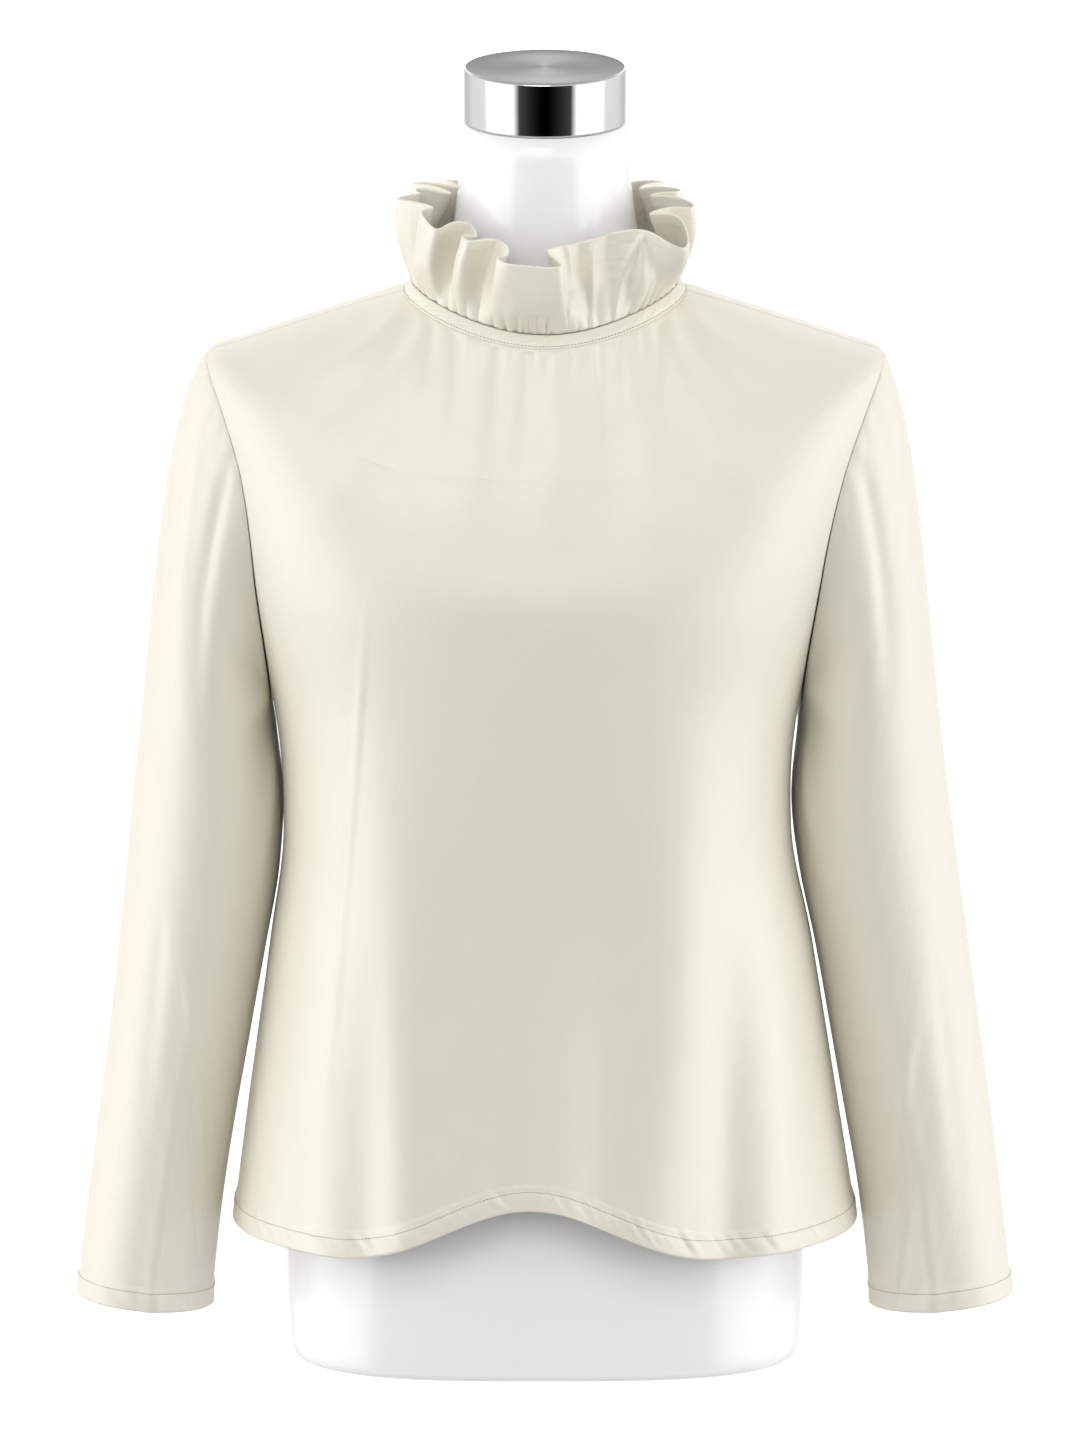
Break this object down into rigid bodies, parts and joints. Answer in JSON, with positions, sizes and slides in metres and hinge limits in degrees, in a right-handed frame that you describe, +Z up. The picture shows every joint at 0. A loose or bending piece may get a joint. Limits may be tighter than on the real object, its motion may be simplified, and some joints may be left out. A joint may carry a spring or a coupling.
{
  "type": "ruffle neck blouse on a limbless dress form",
  "caption": "Long-sleeved ivory blouse with a gathered ruffle at the neck and a curved hem, worn by a white limbless dress form with a polished neck cap.",
  "frame": {"origin": "on the flat underside of the dress form, under the middle of the part's bounding box", "axes": "+Z up, -Y towards the front of the blouse, +X towards the wearer's left"},
  "size_m": [0.569, 0.2658, 0.794],
  "materials": {
    "blouse_cloth": "matte satin crepe",
    "form_shell": "glossy white",
    "cap_metal": "polished, brushed on top",
    "button_pearl": "glossy pearl"
  },
  "bodies": {
    "root": {"dress_form": "form_shell", "neck_cap": "cap_metal", "front_panel": "blouse_cloth", "back_panel": "blouse_cloth", "right_sleeve": "blouse_cloth", "left_sleeve": "blouse_cloth", "neck_binding": "blouse_cloth", "neck_ruffle": "blouse_cloth", "back_button": "button_pearl", "button_loop": "blouse_cloth"}
  },
  "joints": []
}
